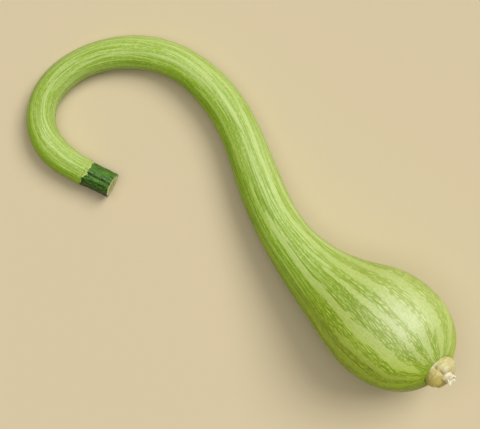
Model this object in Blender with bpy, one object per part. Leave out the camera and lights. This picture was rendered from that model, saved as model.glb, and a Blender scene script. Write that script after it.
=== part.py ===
"""A tromboncino squash as picked: a long neck bent into a hook, a pear-shaped bulb,
the cut stem at the neck's end and, at the bulb's end, the corky button where the
flower was, with the torn stub of the flower on it.

It lies on its side, as on a table. The bulb rests on a small flat spot and the hook
on a narrow flat strip. The origin is on that surface, under the middle of the box
round the squash, and +Z is up. Every sub-part is a row of rings along one bent axis."""

import math

import bmesh
import bpy
import numpy as np

MM = 0.001
UP = np.array([0.0, 0.0, 1.0])

# The squash's axis, from the stem's cut to past the flower's stub. Each point is its
# place on the surface and its height above it, in millimetres.
AXIS_POINTS_MM = [
    (-100.5, 20.5, 12.0),
    (-121.5, 31.0, 11.5),
    (-142.0, 43.5, 11.4),
    (-156.0, 62.5, 11.4),
    (-156.5, 85.0, 11.4),
    (-138.6, 110.1, 11.5),
    (-103.0, 126.0, 12.3),
    (-56.5, 122.5, 13.6),
    (-18.5, 95.0, 14.9),
    (5.0, 55.0, 16.8),
    (21.5, 11.0, 20.4),
    (44.5, -29.5, 27.5),
    (82.0, -66.5, 37.4),
    (118.5, -92.5, 44.4),
    (140.5, -110.0, 49.4),
    (155.3, -123.2, 58.5),
    (167.3, -134.7, 71.0),
]
STEM_LENGTH = 23.5

# The fruit's outline, turned round the axis: the distance from its joint with the
# stem and the radius there. It starts on the stem's seat and ends on the button's.
FRUIT_OUTLINE_MM = [
    (0.0, 9.7),
    (0.7, 10.7),
    (5.0, 11.4),
    (18.0, 11.7),
    (60.0, 11.8),
    (110.0, 12.0),
    (155.0, 13.1),
    (205.0, 14.3),
    (255.0, 15.8),
    (305.0, 17.1),
    (345.0, 18.6),
    (370.0, 20.0),
    (391.0, 23.2),
    (408.0, 27.4),
    (424.0, 32.7),
    (440.0, 38.4),
    (456.0, 43.4),
    (474.0, 45.6),
    (490.0, 44.1),
    (504.0, 39.0),
    (514.0, 31.3),
    (520.0, 23.6),
    (523.2, 17.2),
    (523.8, 14.0),
    (522.6, 12.3),
    (520.4, 11.9),
]
FRUIT_SIDES = 40
RING_SPACING = 6.0

# The fruit's ribs: how deep the furrows between them are, along the fruit.
RIB_COUNT = 10
RIB_DEPTH_MM = [(0, 0.0), (8, 0.25), (60, 0.15), (380, 0.2), (470, 0.5), (512, 1.0)]
RIB_FADE = (512.0, 523.0)

# The slow swelling and leaning that keep a grown fruit from looking turned.
LUMP = 0.012
LUMP_LENGTH = 74.0

STEM_SIDES = 40
STEM_RADIUS = 9.9
STEM_RIDGES = 5
STEM_GROOVE_DEPTH = 1.3
STEM_CUT_SLOPE = math.tan(math.radians(8))

BUTTON_SIDES = 36
BUTTON_OUTLINE_MM = [
    (520.5, 11.0),
    (521.2, 11.5),
    (522.6, 11.9),
    (524.6, 12.9),
    (527.0, 13.6),
    (529.6, 13.3),
    (531.8, 11.9),
    (533.2, 9.6),
    (533.6, 7.2),
    (533.2, 5.9),
    (532.2, 5.3),
]
BUTTON_CREASES = [math.radians(a) for a in (4, 128, -112)]
BUTTON_CREASE_WIDTH = math.radians(13)
BUTTON_CREASE_DEPTH = 1.7

STUB_SIDES = 24
STUB_OUTLINE_MM = [
    (532.5, 3.7),
    (532.9, 4.4),
    (534.6, 4.3),
    (536.4, 4.9),
    (536.5, 3.9),
    (535.1, 2.2),
]
STUB_TEETH = 7
STUB_TOOTH = 0.7

GREEN_SKIN = (0.42, 0.60, 0.16)
STEM_GREEN = (0.05, 0.17, 0.03)
CORK = (0.60, 0.52, 0.27)
DRY_FLOWER = (0.72, 0.68, 0.48)


def spline_through(knots, values):
    """A natural cubic spline through the values at the knots, as a function."""
    knots, values = np.asarray(knots, float), np.asarray(values, float)
    steps = np.diff(knots)
    slopes = np.diff(values, axis=0) / steps[:, None]
    system = np.eye(len(knots))
    bends = np.zeros_like(values)
    for i in range(1, len(knots) - 1):
        system[i, i - 1 : i + 2] = steps[i - 1], 2 * (steps[i - 1] + steps[i]), steps[i]
        bends[i] = 6 * (slopes[i] - slopes[i - 1])
    bends = np.linalg.solve(system, bends)

    def at(where):
        where = np.asarray(where, float)
        i = np.clip(np.searchsorted(knots, where) - 1, 0, len(steps) - 1)
        step = steps[i][:, None]
        after = (where - knots[i])[:, None]
        before = step - after
        return (
            (bends[i] * before**3 + bends[i + 1] * after**3) / (6 * step)
            + (values[i] / step - bends[i] * step / 6) * before
            + (values[i + 1] / step - bends[i + 1] * step / 6) * after
        )

    return at


def chord_lengths(points):
    """How far each point is along the straight runs from the first."""
    runs = np.linalg.norm(np.diff(points, axis=0), axis=1)
    return np.concatenate([[0.0], np.cumsum(runs)])


def unit(vectors):
    return vectors / np.linalg.norm(vectors, axis=-1, keepdims=True)


def axis_curve(points_mm, start_mm, samples=4000):
    """The place and direction on the bent axis at each distance from the joint."""
    points = np.array(points_mm, float)
    knots = chord_lengths(points)
    places = spline_through(knots, points)(np.linspace(0, knots[-1], samples))
    distances = chord_lengths(places) + start_mm
    ways = unit(np.gradient(places, distances, axis=0))

    def at(distance):
        def read(table):
            columns = [np.interp(distance, distances, table[:, i]) for i in range(3)]
            return np.stack(columns, axis=-1)

        return read(places), unit(read(ways))

    return at


AXIS = axis_curve(AXIS_POINTS_MM, -STEM_LENGTH)


def on_axis(distance, angle, radius):
    """Points at a distance along the axis, an angle from the top and a radius."""
    distance, angle, radius = np.broadcast_arrays(distance, angle, radius)
    centre, forward = AXIS(distance)
    side = unit(np.cross(UP, forward))
    top = np.cross(forward, side)
    turned = np.cos(angle)[..., None] * top + np.sin(angle)[..., None] * side
    return centre + radius[..., None] * turned


def rounded_outline(points_mm, spacing):
    """Ring distances and radii on a smooth curve through an outline's points."""
    points = np.array(points_mm, float)
    knots = chord_lengths(points)
    where = [0.0]
    for low, high in zip(knots, knots[1:]):
        count = max(1, round((high - low) / spacing))
        where.extend(np.linspace(low, high, count + 1)[1:])
    rings = spline_through(knots, points)(where)
    return rings[:, :1], rings[:, 1:]


def round_angles(sides):
    return np.linspace(0, 2 * math.pi, sides, endpoint=False)[None, :]


def smooth_step(values, low, high):
    t = np.clip((values - low) / (high - low), 0, 1)
    return t * t * (3 - 2 * t)


def material(name, colour, roughness):
    """A material of one colour, dull or glossy."""
    made = bpy.data.materials.new(name)
    made.use_nodes = True
    shader = made.node_tree.nodes["Principled BSDF"]
    shader.inputs["Base Color"].default_value = (*colour, 1)
    shader.inputs["Roughness"].default_value = roughness
    shader.inputs["Metallic"].default_value = 0.0
    return made


def ringed_body(name, rings_mm, made_of):
    """A closed body through rings of points, closed by a fan at each end."""
    rings = np.array(rings_mm) * MM
    rings[..., 2] = np.maximum(rings[..., 2], 0.0)
    bm = bmesh.new()
    loops = [[bm.verts.new(point) for point in ring] for ring in rings]
    sides = rings.shape[1]
    for low, high in zip(loops, loops[1:]):
        for i in range(sides):
            j = (i + 1) % sides
            bm.faces.new((low[i], low[j], high[j], high[i]))
    for loop, ring in ((loops[0], rings[0]), (loops[-1], rings[-1])):
        middle = bm.verts.new(ring.mean(axis=0))
        for i in range(sides):
            bm.faces.new((middle, loop[i], loop[(i + 1) % sides]))
    bmesh.ops.recalc_face_normals(bm, faces=bm.faces)
    bmesh.ops.triangulate(bm, faces=bm.faces)
    mesh = bpy.data.meshes.new(name)
    bm.to_mesh(mesh)
    bm.free()
    mesh.materials.append(made_of)
    mesh.shade_smooth()
    mesh.set_sharp_from_angle(angle=math.radians(50))
    body = bpy.data.objects.new(name, mesh)
    bpy.context.scene.collection.objects.link(body)
    return body


def grooves(angle, count, power=2.0):
    """Narrow grooves between round ridges: 1 in a groove, 0 on a ridge's crest."""
    return (1 - np.abs(np.sin(count * angle / 2))) ** power


def creases(angle):
    """How far into a crease of the button each angle is."""
    depth = np.zeros_like(angle)
    for centre in BUTTON_CREASES:
        turn = (angle - centre + math.pi) % (2 * math.pi) - math.pi
        depth = depth + np.exp(-((turn / BUTTON_CREASE_WIDTH) ** 2))
    return depth


def make_fruit():
    """The neck and the bulb, one grown piece with shallow ribs."""
    distance, radius = rounded_outline(FRUIT_OUTLINE_MM, RING_SPACING)
    angle = round_angles(FRUIT_SIDES)
    depth = np.interp(distance, *zip(*RIB_DEPTH_MM))
    depth = depth * (1 - smooth_step(distance, *RIB_FADE))
    furrow = (1 - np.cos(RIB_COUNT * angle)) / 2
    turn = 2 * math.pi * distance / LUMP_LENGTH
    calm = smooth_step(distance, 10, 60) * (1 - smooth_step(distance, 420, 500))
    lump = LUMP * calm * np.sin(turn + 1.2 * np.cos(angle + 0.4))
    rings = on_axis(distance, angle, radius * (1 + lump) - depth * furrow)
    return ringed_body("fruit", rings, material("pale green skin", GREEN_SKIN, 0.42))


def make_stem():
    """The cut stem, five-ridged, cut across a little askew."""
    angle = round_angles(STEM_SIDES)
    outline = [(0.3, 9.2), (0.8, 9.9), (3.0, 10.2), (6.0, 10.0)]
    outline += [(length, STEM_RADIUS) for length in (10.0, 14.0, 18.0, 22.6)]
    outline += [(STEM_LENGTH - 0.3, 9.8), (STEM_LENGTH, 9.2)]
    back, radius = np.array(outline)[:, :1], np.array(outline)[:, 1:]
    groove = grooves(angle, STEM_RIDGES) * smooth_step(back, 0.0, 2.0)
    radius = radius - STEM_GROOVE_DEPTH * groove
    askew = STEM_CUT_SLOPE * radius * np.cos(angle) * back / STEM_LENGTH
    rings = on_axis(askew - back, angle, radius)
    return ringed_body("stem", rings, material("dark green stem", STEM_GREEN, 0.4))


def make_button():
    """The corky button with three lobes, and a pit where the flower's stub stands."""
    distance, radius = rounded_outline(BUTTON_OUTLINE_MM, RING_SPACING)
    angle = round_angles(BUTTON_SIDES)
    free = smooth_step(distance, 522.0, 526.0) * smooth_step(radius, 5.0, 9.0)
    radius = radius - BUTTON_CREASE_DEPTH * free * creases(angle)
    rings = on_axis(distance, angle, radius)
    return ringed_body("blossom_button", rings, material("cork", CORK, 0.7))


def make_stub():
    """The stub of the dried flower, a shallow dish with a torn rim."""
    outline = np.array(STUB_OUTLINE_MM)
    angle = round_angles(STUB_SIDES)
    torn = smooth_step(outline[:, :1], 534.8, 536.4) * np.sin(STUB_TEETH * angle)
    rings = on_axis(outline[:, :1] + STUB_TOOTH * torn, angle, outline[:, 1:])
    return ringed_body("flower_stub", rings, material("dry flower", DRY_FLOWER, 0.8))


for thing in list(bpy.data.objects):
    bpy.data.objects.remove(thing)

make_fruit()
make_stem()
make_button()
make_stub()
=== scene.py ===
# %% [markdown]
# # Dressing a tromboncino squash
# A tromboncino is a long pale green summer squash. Its neck curls into a hook, and its
# seeds sit in a pear-shaped bulb at the far end. This lesson starts from a plain solid
# model of one and makes each piece look grown: striped skin, a ridged stem with a
# fresh cut, and the corky button where the flower fell off.
#
# The solid model is loaded first and never moved. Every size below is in millimetres,
# because that is how a squash is measured, and becomes metres where a mesh is made.

# %% Load the solid model
import math

import bpy
import numpy as np
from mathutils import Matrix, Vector, noise


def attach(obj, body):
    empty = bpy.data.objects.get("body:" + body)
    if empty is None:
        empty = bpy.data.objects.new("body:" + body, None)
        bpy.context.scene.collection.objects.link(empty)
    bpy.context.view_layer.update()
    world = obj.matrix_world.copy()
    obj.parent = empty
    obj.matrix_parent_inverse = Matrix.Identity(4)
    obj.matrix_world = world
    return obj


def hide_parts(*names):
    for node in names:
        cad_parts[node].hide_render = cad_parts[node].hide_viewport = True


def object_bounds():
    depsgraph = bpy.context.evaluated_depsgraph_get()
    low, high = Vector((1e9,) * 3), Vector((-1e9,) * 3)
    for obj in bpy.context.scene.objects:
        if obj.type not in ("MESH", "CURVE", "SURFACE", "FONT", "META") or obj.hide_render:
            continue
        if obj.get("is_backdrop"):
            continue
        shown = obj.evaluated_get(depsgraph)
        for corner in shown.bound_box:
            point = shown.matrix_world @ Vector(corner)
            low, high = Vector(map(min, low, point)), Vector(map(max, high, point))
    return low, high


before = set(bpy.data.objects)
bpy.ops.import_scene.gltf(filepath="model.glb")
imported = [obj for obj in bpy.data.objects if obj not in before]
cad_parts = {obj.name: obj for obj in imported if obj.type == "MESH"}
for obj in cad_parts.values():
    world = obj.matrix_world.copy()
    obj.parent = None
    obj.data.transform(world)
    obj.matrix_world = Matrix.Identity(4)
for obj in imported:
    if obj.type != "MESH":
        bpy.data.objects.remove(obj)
solid_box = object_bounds()
MM = 0.001  # Blender works in metres
print("solid pieces:", ", ".join(sorted(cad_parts)))
print("solid box:", [[round(float(v), 4) for v in corner] for corner in solid_box])

# %% [markdown]
# ## One bent axis for every piece
# The squash could be sculpted, but a sculpted surface has no idea where its own length
# runs, and the stripes need exactly that. So every piece is made of rings round one
# bent axis. The axis is a smooth curve through a few points: each is a place on the
# table and a height above it, and the first lies inside the stem.

# %% Points of the axis
AXIS_POINTS_MM = [
    (-100.5, 20.5, 12.0), (-121.5, 31.0, 11.5), (-142.0, 43.5, 11.4),
    (-156.0, 62.5, 11.4), (-156.5, 85.0, 11.4), (-138.6, 110.1, 11.5),
    (-103.0, 126.0, 12.3), (-56.5, 122.5, 13.6), (-18.5, 95.0, 14.9), (5.0, 55.0, 16.8),
    (21.5, 11.0, 20.4), (44.5, -29.5, 27.5), (82.0, -66.5, 37.4), (118.5, -92.5, 44.4),
    (140.5, -110.0, 49.4), (155.3, -123.2, 58.5), (167.3, -134.7, 71.0),
]
STEM_LENGTH = 23.5
print(len(AXIS_POINTS_MM), "points for an axis")

# %% [markdown]
# Straight runs between the points would show as kinks. A natural cubic spline bends as
# little as it can between them, as a growing neck does.


# %% A smooth curve through points
def spline_through(knots, values):
    """A natural cubic spline through the values at the knots, as a function."""
    knots, values = np.asarray(knots, float), np.asarray(values, float)
    steps = np.diff(knots)
    slopes = np.diff(values, axis=0) / steps[:, None]
    system = np.eye(len(knots))
    bends = np.zeros_like(values)
    for i in range(1, len(knots) - 1):
        system[i, i - 1 : i + 2] = steps[i - 1], 2 * (steps[i - 1] + steps[i]), steps[i]
        bends[i] = 6 * (slopes[i] - slopes[i - 1])
    bends = np.linalg.solve(system, bends)

    def at(where):
        where = np.asarray(where, float)
        i = np.clip(np.searchsorted(knots, where) - 1, 0, len(steps) - 1)
        step = steps[i][:, None]
        after = (where - knots[i])[:, None]
        before = step - after
        return (
            (bends[i] * before**3 + bends[i + 1] * after**3) / (6 * step)
            + (values[i] / step - bends[i] * step / 6) * before
            + (values[i + 1] / step - bends[i + 1] * step / 6) * after
        )

    return at


hill = spline_through([0, 1, 2], [[0], [1], [0]])
print("a quarter along a curve through 0, 1 and 0 it reads", hill([0.5])[0, 0])

# %% The axis
AXIS_SAMPLES = 4000


def chord_lengths(points):
    """How far each point is along the straight runs from the first."""
    runs = np.linalg.norm(np.diff(points, axis=0), axis=1)
    return np.concatenate([[0.0], np.cumsum(runs)])


def unit(vectors):
    return vectors / np.linalg.norm(vectors, axis=-1, keepdims=True)


axis_knots = chord_lengths(np.array(AXIS_POINTS_MM))
axis_places = spline_through(axis_knots, AXIS_POINTS_MM)(
    np.linspace(0, axis_knots[-1], AXIS_SAMPLES)
)
axis_distances = chord_lengths(axis_places) - STEM_LENGTH
axis_ways = unit(np.gradient(axis_places, axis_distances, axis=0))
print(f"axis: {axis_distances[-1]:.0f} mm past the joint of stem and fruit")

# %% [markdown]
# Any point of the squash is then three numbers: how far along the axis from the joint
# of stem and fruit, which way round from the top, and how far out from the axis.


# %% Points round the axis
def on_axis(distance, angle, radius):
    """Points at a distance along the axis, an angle from the top and a radius."""
    distance, angle, radius = np.broadcast_arrays(distance, angle, radius)

    def read(table):
        columns = [np.interp(distance, axis_distances, table[:, i]) for i in range(3)]
        return np.stack(columns, axis=-1)

    forward = unit(read(axis_ways))
    side = unit(np.cross((0.0, 0.0, 1.0), forward))
    top = np.cross(forward, side)
    turned = np.cos(angle)[..., None] * top + np.sin(angle)[..., None] * side
    return read(axis_places) + radius[..., None] * turned


def round_angles(sides):
    """Evenly spaced ways round, in radians, as one row."""
    return np.linspace(0, 2 * math.pi, sides, endpoint=False)[None, :]


print("top of the bulb:", on_axis(474.0, 0.0, 45.6).round(1), "mm")

# %% [markdown]
# A piece's outline is a list of distances along the axis and radii. A few numbers are
# easy to set against a real squash, and the same spline rounds off what lies between
# them. Warts and wrinkles come from noise, which gives the same heights on every run.
# It is read on a plain cylinder, so that its bumps follow the rings and not the bends.


# %% Outlines and noise
def smooth_outline(points_mm, rings):
    """Distances, radii and lengths along the skin of a number of rings, as columns."""
    knots = chord_lengths(np.array(points_mm))
    line = spline_through(knots, points_mm)(np.linspace(0, knots[-1], rings))
    return line[:, :1], line[:, 1:], chord_lengths(line)[:, None]


def smooth_step(values, low, high):
    """0 below low, 1 above high, and a smooth rise between them."""
    t = np.clip((values - low) / (high - low), 0, 1)
    return t * t * (3 - 2 * t)


def degrees_off(angle_deg, middle_deg):
    """How far round an angle lies from a middle, -180 to 180."""
    return (angle_deg - middle_deg + 180) % 360 - 180


def wound(radius, angle, z):
    """Places on a plain cylinder, to read noise at."""
    x, y = radius * np.cos(angle), radius * np.sin(angle)
    return np.stack(np.broadcast_arrays(x, y, z), axis=-1)


def rough(points, size, seed=0.0):
    """Smooth random heights of about -1 to 1 at the points, with bumps of a size."""
    flat = np.asarray(points, float).reshape(-1, 3) / size + seed
    heights = [noise.noise(Vector(point)) for point in flat]
    return np.array(heights).reshape(np.shape(points)[:-1])


print("noise halfway along a step:", rough([[0.5, 0.5, 0.5]], 1.0).round(2)[0])

# %% [markdown]
# ## A flat map of each skin
# A texture needs a flat map of the surface. Blender can unwrap a mesh by itself, but
# these pieces are grids already, so the map is read off them: the skin is slit along
# one line from end to end and cut across into strips, which lie one above the other.

# %% Flat map
MAP_GAP = 0.012  # left free round each strip, as a share of the map
MAP_NAME = "OFBake"


def corner_turns(sides):
    """The turns round, 0 to 1, of the four corners of each face of a ring."""
    turn = np.arange(sides) / sides
    return np.stack([turn, turn + 1 / sides, turn + 1 / sides, turn], axis=1)


def lay_strips(rings, along_mm, cuts_mm):
    """Texture places for each face corner: strips of the skin, one above the other."""
    count, sides = rings.shape[:2]
    edges = [along_mm[0], *cuts_mm, along_mm[-1]]
    around = np.linalg.norm(np.diff(rings, axis=1), axis=2).sum(axis=1)
    middles = (along_mm[:-1] + along_mm[1:]) / 2
    strip = np.searchsorted(cuts_mm, middles)
    widths = [edges[i + 1] - edges[i] for i in range(len(edges) - 1)]
    inside = [strip == i for i in range(len(widths))]
    heights = [around[:-1][rows].max() for rows in inside]
    full = sum(heights) * (1 + MAP_GAP * len(heights))
    floors = np.cumsum([0.0, *[h / full + MAP_GAP for h in heights[:-1]]])
    wide = max(widths)
    turns = corner_turns(sides)[None]
    u = np.empty((count - 1, sides, 4))
    v = np.empty((count - 1, sides, 4))
    for i, rows in enumerate(inside):
        low = (along_mm[:-1][rows] - edges[i]) / wide * (1 - 2 * MAP_GAP) + MAP_GAP
        high = (along_mm[1:][rows] - edges[i]) / wide * (1 - 2 * MAP_GAP) + MAP_GAP
        u[rows] = np.stack([low, low, high, high], axis=1)[:, None, :]
        v[rows] = floors[i] + MAP_GAP / 2 + turns * heights[i] / full
    return np.stack([u, v], axis=-1).reshape(-1, 2)


print("a ring's first face of four has corners at turns", corner_turns(4)[0])

# %% [markdown]
# ## A mesh from rings
# Each piece is a stack of rings joined by four-sided faces and closed by a fan at each
# end. A screw or an array of rings with modifiers could give such a tube, but not rings
# that all differ. The builder also stores numbers on the mesh's points, such as the way
# round and the distance along, for the material to read. It is how the paint knows the
# skin's own directions on a body that bends. The turns round are kept on the corners of
# the faces, because a point on the slit is both at 0 turns and at 1. No point goes
# below the table, so the fruit's underside rests on it flat.


# %% Rings to a mesh
def mesh_through(name, rings):
    """A closed mesh: four-sided faces from ring to ring, and a fan at each end."""
    count, sides = rings.shape[:2]
    grid = np.arange(count * sides).reshape(count, sides)
    turned = np.roll(grid, -1, axis=1)
    quads = np.stack([grid[:-1], turned[:-1], turned[1:], grid[1:]], axis=-1)
    hubs = np.array([rings[0].mean(axis=0), rings[-1].mean(axis=0)])
    points = np.concatenate([rings.reshape(-1, 3), hubs]) * MM
    first, last = count * sides, count * sides + 1
    fans = [(first, b, a) for a, b in zip(grid[0], turned[0])]
    fans += [(last, a, b) for a, b in zip(grid[-1], turned[-1])]
    mesh = bpy.data.meshes.new(name)
    mesh.from_pydata(points.tolist(), [], quads.reshape(-1, 4).tolist() + fans)
    return mesh


def keep_number(mesh, label, values, domain="POINT"):
    """Keeps a number on each point of a mesh, or on each corner of its faces."""
    field = mesh.attributes.new(label, "FLOAT", domain)
    field.data.foreach_set("value", values)


def way_round(angle):
    """The way round as a cosine and a sine, which have no jump where it closes."""
    return {"round_x": np.cos(angle), "round_y": np.sin(angle)}


print("numbers for the way round:", ", ".join(way_round(0.0)))

# %% Piece builder
FAN_ON_MAP = [[0.004, 0.004], [0.006, 0.004], [0.006, 0.006]]  # clear of the strips


def ringed_piece(name, rings_mm, numbers, cuts_mm=(), along_mm=None, twist_deg=0.0):
    """A piece through rings of points, with its map and the numbers for its paint."""
    rings = np.array(rings_mm)
    rings[..., 2] = np.maximum(rings[..., 2], 0.0)
    count, sides = rings.shape[:2]
    mesh = mesh_through(name, rings)

    along = chord_lengths(rings[:, 0]) if along_mm is None else along_mm
    on_map = lay_strips(rings, along, list(cuts_mm))
    fans_on_map = np.tile(FAN_ON_MAP, (2 * sides, 1))
    layer = mesh.uv_layers.new(name=MAP_NAME)
    layer.data.foreach_set("uv", np.concatenate([on_map, fans_on_map]).ravel())

    twist = np.broadcast_to(np.ravel(twist_deg), count) / 360
    twists = np.stack([twist[:-1], twist[:-1], twist[1:], twist[1:]], axis=1)
    turns = (corner_turns(sides)[None] - twists[:, None]).ravel()
    fan_turns = np.zeros(len(fans_on_map))
    keep_number(mesh, "turn", np.concatenate([turns, fan_turns]), "CORNER")
    for label, values in numbers.items():
        kept = np.array(np.broadcast_to(values, (count, sides)), float)
        ends = [kept[0].mean(), kept[-1].mean()]
        keep_number(mesh, label, np.concatenate([kept.ravel(), ends]))
    mesh.validate()
    mesh.shade_smooth()
    piece = bpy.data.objects.new(name, mesh)
    bpy.context.scene.collection.objects.link(piece)
    print(f"{name}: {len(mesh.polygons)} faces")
    return piece


print("the ends share a spot on the map at", FAN_ON_MAP[0])

# %% [markdown]
# ## Arithmetic on sockets
# A skin's colour is mostly small sums: a stripe here, less of it there, a speckle over
# both. Wiring those sums by hand hides what they say. The class below wraps an output
# socket so that Python's own +, -, * and / add the Math nodes, and `1 - mask` works as
# it reads. Colours go through Mix nodes instead, as a Math node turns them grey.


# %% Sockets in expressions
class Wire:
    """A socket's output on its way through a material, usable in arithmetic."""

    def __init__(self, paint, socket):
        self.paint = paint
        self.socket = socket

    def maths(self, operation, *values):
        sockets = dict(enumerate(values))
        return self.paint.node("ShaderNodeMath", {"operation": operation}, sockets)

    def __add__(self, other):
        return self.maths("ADD", self, other)

    def __sub__(self, other):
        return self.maths("SUBTRACT", self, other)

    def __rsub__(self, other):
        return self.maths("SUBTRACT", other, self)

    def __mul__(self, other):
        return self.maths("MULTIPLY", self, other)

    def __truediv__(self, other):
        return self.maths("DIVIDE", self, other)

    def __rtruediv__(self, other):
        return self.maths("DIVIDE", other, self)

    def __abs__(self):
        return self.maths("ABSOLUTE", self)

    __radd__ = __add__
    __rmul__ = __mul__

    def sine(self):
        return self.maths("SINE", self)

    def most(self, other):
        return self.maths("MAXIMUM", self, other)

    def between(self, low, high):
        """0 below low, 1 above high, and a smooth rise between them."""
        sockets = {"Value": self, "From Min": low, "From Max": high}
        settings = {"interpolation_type": "SMOOTHSTEP"}
        return self.paint.node("ShaderNodeMapRange", settings, sockets)


print("sums on sockets: + - * / and abs()")

# %% [markdown]
# ## One way to add a node
# Every node comes from one method: its type, then its settings, then the values or
# links of its sockets. Settings go first because some of them change which sockets a
# node has.


# %% Materials
class Material:
    """One material, built node by node."""

    def __init__(self, name):
        self.material = bpy.data.materials.new(name)
        self.material.use_nodes = True
        self.tree = self.material.node_tree
        self.tree.nodes.clear()

    def node(self, kind, settings=None, sockets=None, output=0):
        """Adds a node: its settings first, then the values or links of its sockets."""
        made = self.tree.nodes.new(kind)
        for name, value in (settings or {}).items():
            setattr(made, name, value)
        for key, value in (sockets or {}).items():
            if isinstance(value, Wire):
                self.tree.links.new(value.socket, made.inputs[key])
            else:
                made.inputs[key].default_value = value
        return Wire(self, made.outputs[output]) if made.outputs else None

    def finish(self, **sockets):
        """Closes the material with a Principled shader and returns it."""
        named = {key.replace("_", " "): value for key, value in sockets.items()}
        shader = self.node("ShaderNodeBsdfPrincipled", None, named)
        self.node("ShaderNodeOutputMaterial", None, {"Surface": shader})
        return self.material


print("a material has:", ", ".join(k for k in vars(Material) if k[0] != "_"))

# %% [markdown]
# The few nodes that this squash needs get short names of their own: numbers kept on
# the mesh, noise, cells, layers of colour and relief.

# %% Paints
MIX_SHARE, MIX_FIRST, MIX_SECOND, MIX_COLOUR = 0, 6, 7, 2  # sockets of a Mix node


class Paint(Material):
    """A material with the marks and layers of a squash."""

    def number(self, name):
        """A number kept on the mesh."""
        settings = {"attribute_type": "GEOMETRY", "attribute_name": name}
        return self.node("ShaderNodeAttribute", settings, output="Fac")

    def place(self, x, y, z):
        return self.node("ShaderNodeCombineXYZ", None, {0: x, 1: y, 2: z})

    def clouds(self, place, scale, detail=2.0, roughness=0.5):
        """Soft random values of 0 to 1, mostly near the middle."""
        sockets = {"Vector": place, "Scale": scale}
        sockets |= {"Detail": detail, "Roughness": roughness}
        return self.node("ShaderNodeTexNoise", {"noise_dimensions": "3D"}, sockets)

    def cells(self, place, scale):
        """The distance to the nearest wall between random cells."""
        settings = {"feature": "DISTANCE_TO_EDGE"}
        sockets = {"Vector": place, "Scale": scale}
        return self.node("ShaderNodeTexVoronoi", settings, sockets, output="Distance")

    def cell_random(self, place, scale):
        """A random value of 0 to 1 for each of the same cells."""
        sockets = {"Vector": place, "Scale": scale}
        return self.node("ShaderNodeTexVoronoi", None, sockets, output="Color")

    def mixed(self, share, first, second, blend="MIX"):
        """The first colour, with a share of the second laid over it."""
        settings = {"data_type": "RGBA", "blend_type": blend}
        sockets = {MIX_SHARE: share, MIX_FIRST: first, MIX_SECOND: second}
        return self.node("ShaderNodeMix", settings, sockets, MIX_COLOUR)

    def bumped(self, height, distance_mm, strength, under=None):
        sockets = {"Height": height, "Distance": distance_mm * MM, "Strength": strength}
        if under is not None:
            sockets["Normal"] = under
        return self.node("ShaderNodeBump", None, sockets)


print("a paint adds:", ", ".join(k for k in vars(Paint) if k[0] != "_"))

# %% [markdown]
# Colours are easiest to judge as a screen shows them, from 0 to 255, but a shader sums
# light. A screen's scale is bent, so each number is unbent before it goes in.


# %% Colours
def colour(red, green, blue):
    """A screen's colour, 0 to 255 each, as the light that it stands for."""
    steps = [v / 255 for v in (red, green, blue)]
    light = [v / 12.92 if v <= 0.04045 else ((v + 0.055) / 1.055) ** 2.4 for v in steps]
    return (*light, 1.0)


print("a screen's middle grey is light of", round(colour(128, 128, 128)[0], 3))

# %% [markdown]
# ## Camera
# The squash is seen from straight above, from a little over a metre. The picture is
# 480 pixels wide and each covers 0.81 mm of the table, so the lens follows from the
# height. A camera without perspective would be simpler, but from this near the bulb's
# top looks larger than its foot, and its sides lean outwards.

# %% Camera
IMAGE_WIDTH_PX = 480
TABLE_MM_PER_PIXEL = 0.81
CAMERA_HEIGHT_MM = 1100.0
VIEW_CENTRE_MM = (1.5, -2.5)
SENSOR_MM = 36.0

camera_data = bpy.data.cameras.new("camera")
camera_data.sensor_width = SENSOR_MM
camera_data.lens = SENSOR_MM * CAMERA_HEIGHT_MM / (IMAGE_WIDTH_PX * TABLE_MM_PER_PIXEL)
camera_data.clip_start = 50 * MM
camera = bpy.data.objects.new("camera", camera_data)
camera.location = [v * MM for v in (*VIEW_CENTRE_MM, CAMERA_HEIGHT_MM)]
bpy.context.scene.collection.objects.link(camera)
bpy.context.scene.camera = camera
print(f"lens {camera_data.lens:.1f} mm")

# %% [markdown]
# ## Table
# A plain pale table, far larger than the view, so that its edge never shows from any
# side. It is a stage for the squash and not part of it.

# %% Table
TABLE_SIZE_MM = 40000
TABLE_COLOUR = colour(214, 198, 164)

table_mesh = bpy.data.meshes.new("table")
half = TABLE_SIZE_MM * MM / 2
corners = [(-half, -half, 0), (half, -half, 0), (half, half, 0), (-half, half, 0)]
table_mesh.from_pydata(corners, [], [(0, 1, 2, 3)])
table = bpy.data.objects.new("table", table_mesh)
bpy.context.scene.collection.objects.link(table)
table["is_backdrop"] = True

paint = Paint("pale table")
table_mesh.materials.append(paint.finish(Base_Color=TABLE_COLOUR, Roughness=0.9))
print("table:", 2 * half, "m across")

# %% [markdown]
# ## Light
# A soft lamp at the upper right stands for a window, and a wider, weaker one above for
# a bright ceiling. Area lamps near the squash would light a patch of the table more
# than the rest, so both are suns, which are far away and light it evenly. How wide a
# sun looks sets how soft its shadows are. The window leaves a broad pale gloss on the
# bulb and lets the near side fall into shade.


# %% Lamps
def soft_sun(name, away, strength, spread_deg, tint):
    """A far lamp that lies in a direction and looks as wide as an angle of the sky."""
    data = bpy.data.lights.new(name, "SUN")
    data.energy = strength
    data.angle = math.radians(spread_deg)
    data.color = tint
    lamp = bpy.data.objects.new(name, data)
    lamp.location = away
    lamp.rotation_euler = (-Vector(away)).to_track_quat("-Z", "Y").to_euler()
    bpy.context.scene.collection.objects.link(lamp)


WINDOW_WAY = (0.77, 0.64, 1.32)  # towards it, from the squash
CEILING_WAY = (-0.23, 0.07, 1.87)
ROOM_LIGHT = (1.0, 0.97, 0.9, 1.0)
ROOM_STRENGTH = 0.14

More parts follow.
